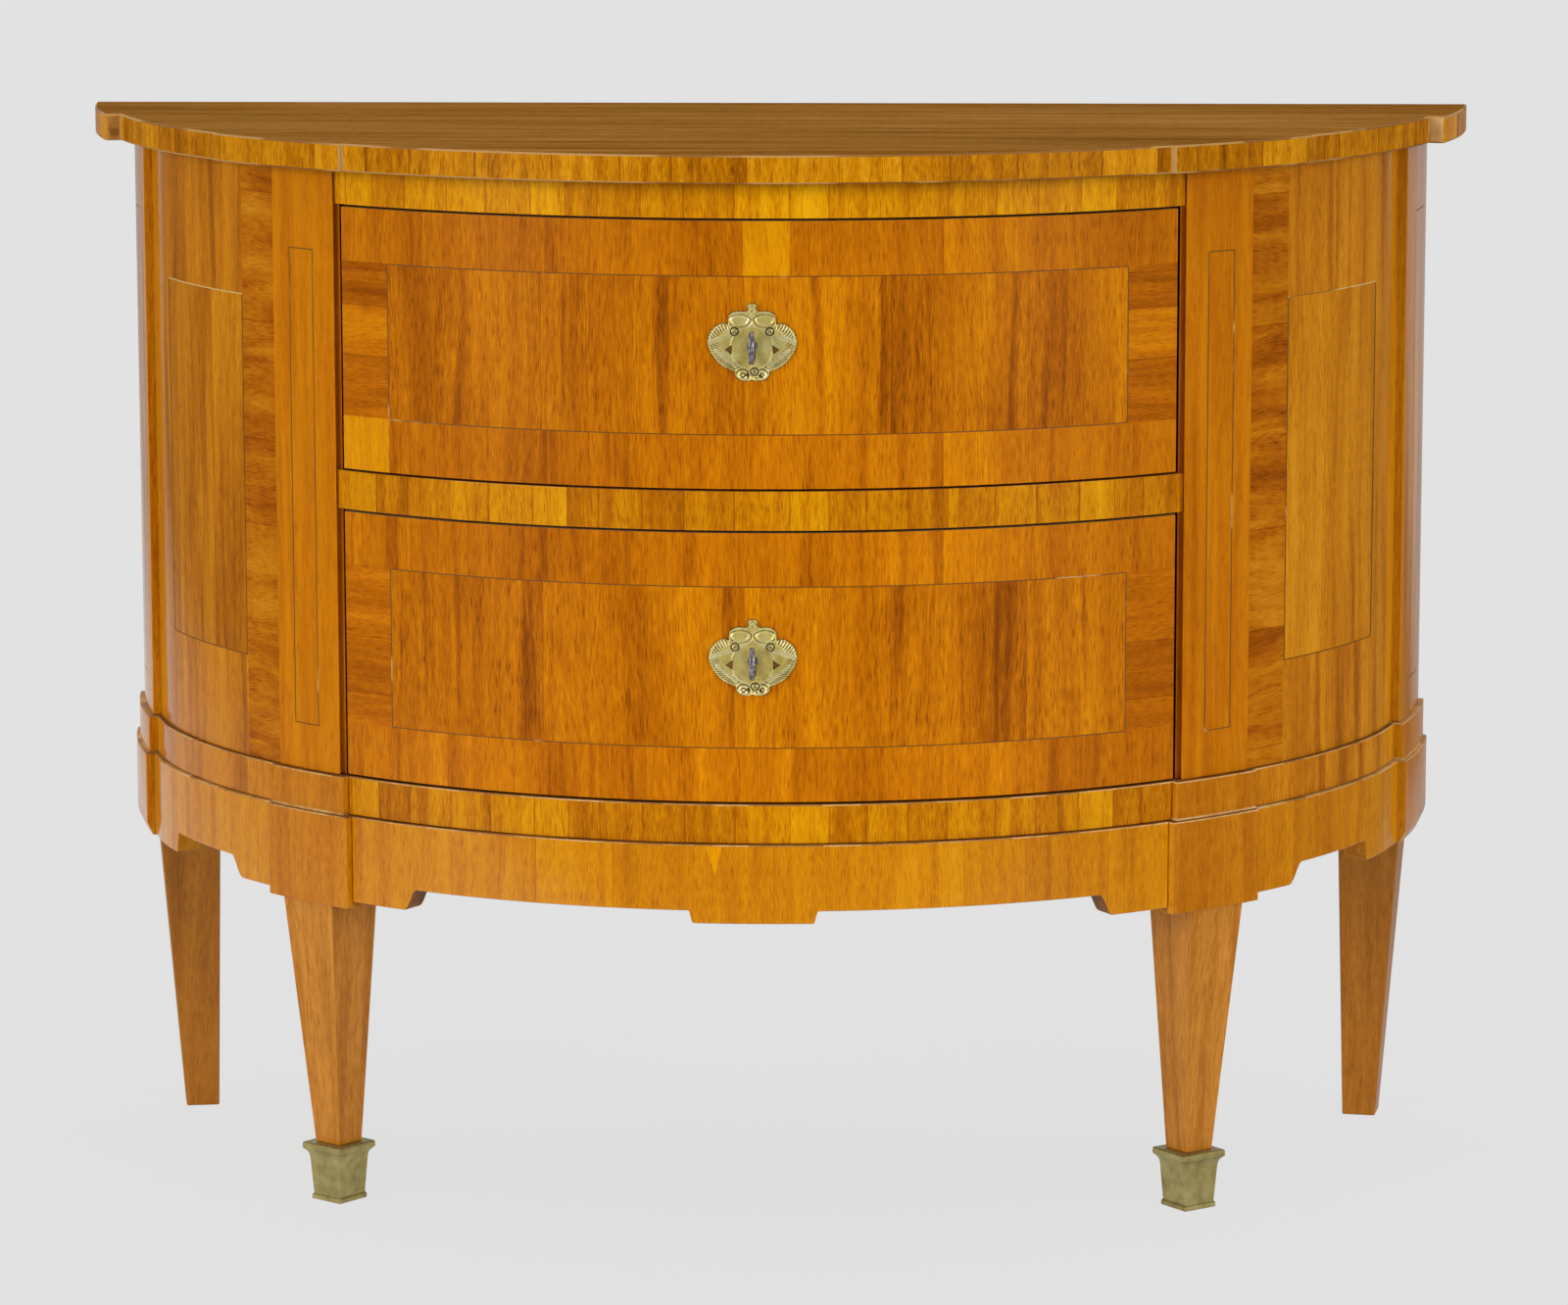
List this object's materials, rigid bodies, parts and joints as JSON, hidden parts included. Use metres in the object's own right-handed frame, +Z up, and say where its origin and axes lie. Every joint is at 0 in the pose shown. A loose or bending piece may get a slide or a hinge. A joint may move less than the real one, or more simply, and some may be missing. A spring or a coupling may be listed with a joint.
{
  "type": "demilune chest of drawers",
  "caption": "Half-round chest with bowed locking drawers, inlaid veneer, a stepped base with shaped aprons and square tapered legs in brass shoes.",
  "frame": {"origin": "on the floor, under the middle of the chest's outline", "axes": "+Z up, +Y towards the wall, -Y towards the room, +X to the viewer's right"},
  "size_m": [1.1606, 0.524, 0.868],
  "materials": {
    "veneer": "honey brown figured veneer under gloss varnish",
    "rail_veneer": "pale yellow brown cross-grain veneer under gloss varnish",
    "top_veneer": "darker brown veneer under gloss varnish",
    "leg_wood": "veneered legs under satin varnish",
    "inner_wood": "bare planed softwood",
    "brass": "aged cast and engraved brass",
    "steel": "old filed steel"
  },
  "bodies": {
    "carcass": {"top_board": "top_veneer", "back_panel": "inner_wood", "side_panel_left": "veneer", "side_panel_right": "veneer", "front_stile_left": "veneer", "front_stile_right": "veneer", "rear_pilaster_left": "veneer", "rear_pilaster_right": "veneer", "base_band_left": "veneer", "base_band_right": "veneer", "base_band_centre": "rail_veneer", "apron_left": "veneer", "apron_right": "veneer", "apron_centre": "rail_veneer", "front_leg_block_left": "veneer", "front_leg_block_right": "veneer", "rear_leg_block_left": "veneer", "rear_leg_block_right": "veneer", "front_leg_left": "leg_wood", "front_leg_right": "leg_wood", "rear_leg_left": "leg_wood", "rear_leg_right": "leg_wood", "brass_shoe_left": "brass", "brass_shoe_right": "brass", "top_rail": "rail_veneer", "middle_rail": "rail_veneer", "back_rail": "inner_wood", "bottom_board": "inner_wood", "dust_board": "inner_wood", "drawer_runner_upper_left": "inner_wood", "drawer_runner_upper_right": "inner_wood", "drawer_runner_lower_left": "inner_wood", "drawer_runner_lower_right": "inner_wood", "drawer_stop_upper": "inner_wood", "drawer_stop_lower": "inner_wood"},
    "upper_drawer": {"drawer_front_upper": "veneer", "drawer_side_upper_left": "inner_wood", "drawer_side_upper_right": "inner_wood", "drawer_back_upper": "inner_wood", "drawer_bottom_upper": "inner_wood", "lock_case_upper": "steel", "escutcheon_upper": "brass", "escutcheon_screw_upper_1": "brass", "escutcheon_screw_upper_2": "brass", "escutcheon_screw_upper_3": "brass"},
    "lower_drawer": {"drawer_front_lower": "veneer", "drawer_side_lower_left": "inner_wood", "drawer_side_lower_right": "inner_wood", "drawer_back_lower": "inner_wood", "drawer_bottom_lower": "inner_wood", "lock_case_lower": "steel", "escutcheon_lower": "brass", "escutcheon_screw_lower_1": "brass", "escutcheon_screw_lower_2": "brass", "escutcheon_screw_lower_3": "brass"},
    "upper_key": {"key_upper": "steel"},
    "lower_key": {"key_lower": "steel"},
    "upper_bolt": {"lock_bolt_upper": "steel"},
    "lower_bolt": {"lock_bolt_lower": "steel"}
  },
  "joints": [
    {"name": "upper_drawer_slide", "type": "slide", "parent": "carcass", "child": "upper_drawer", "axis": [0, -1, 0], "range_m": [0, 0.3]},
    {"name": "lower_drawer_slide", "type": "slide", "parent": "carcass", "child": "lower_drawer", "axis": [0, -1, 0], "range_m": [0, 0.3]},
    {"name": "upper_key_turn", "type": "hinge", "parent": "upper_drawer", "child": "upper_key", "pos_m": [0, -0.25, 0.7192], "axis": [0, 1, 0], "range_deg": [0, 180]},
    {"name": "lower_key_turn", "type": "hinge", "parent": "lower_drawer", "child": "lower_key", "pos_m": [0, -0.25, 0.4727], "axis": [0, 1, 0], "range_deg": [0, 180]},
    {"name": "upper_bolt_throw", "type": "slide", "parent": "upper_drawer", "child": "upper_bolt", "axis": [0, 0, 1], "range_m": [0, 0.008]},
    {"name": "lower_bolt_throw", "type": "slide", "parent": "lower_drawer", "child": "lower_bolt", "axis": [0, 0, 1], "range_m": [0, 0.008]}
  ],
  "couplings": [
    {"joint": "upper_bolt_throw", "follows": "upper_key_turn", "m_per_rad": 0.002546},
    {"joint": "lower_bolt_throw", "follows": "lower_key_turn", "m_per_rad": 0.002546}
  ]
}
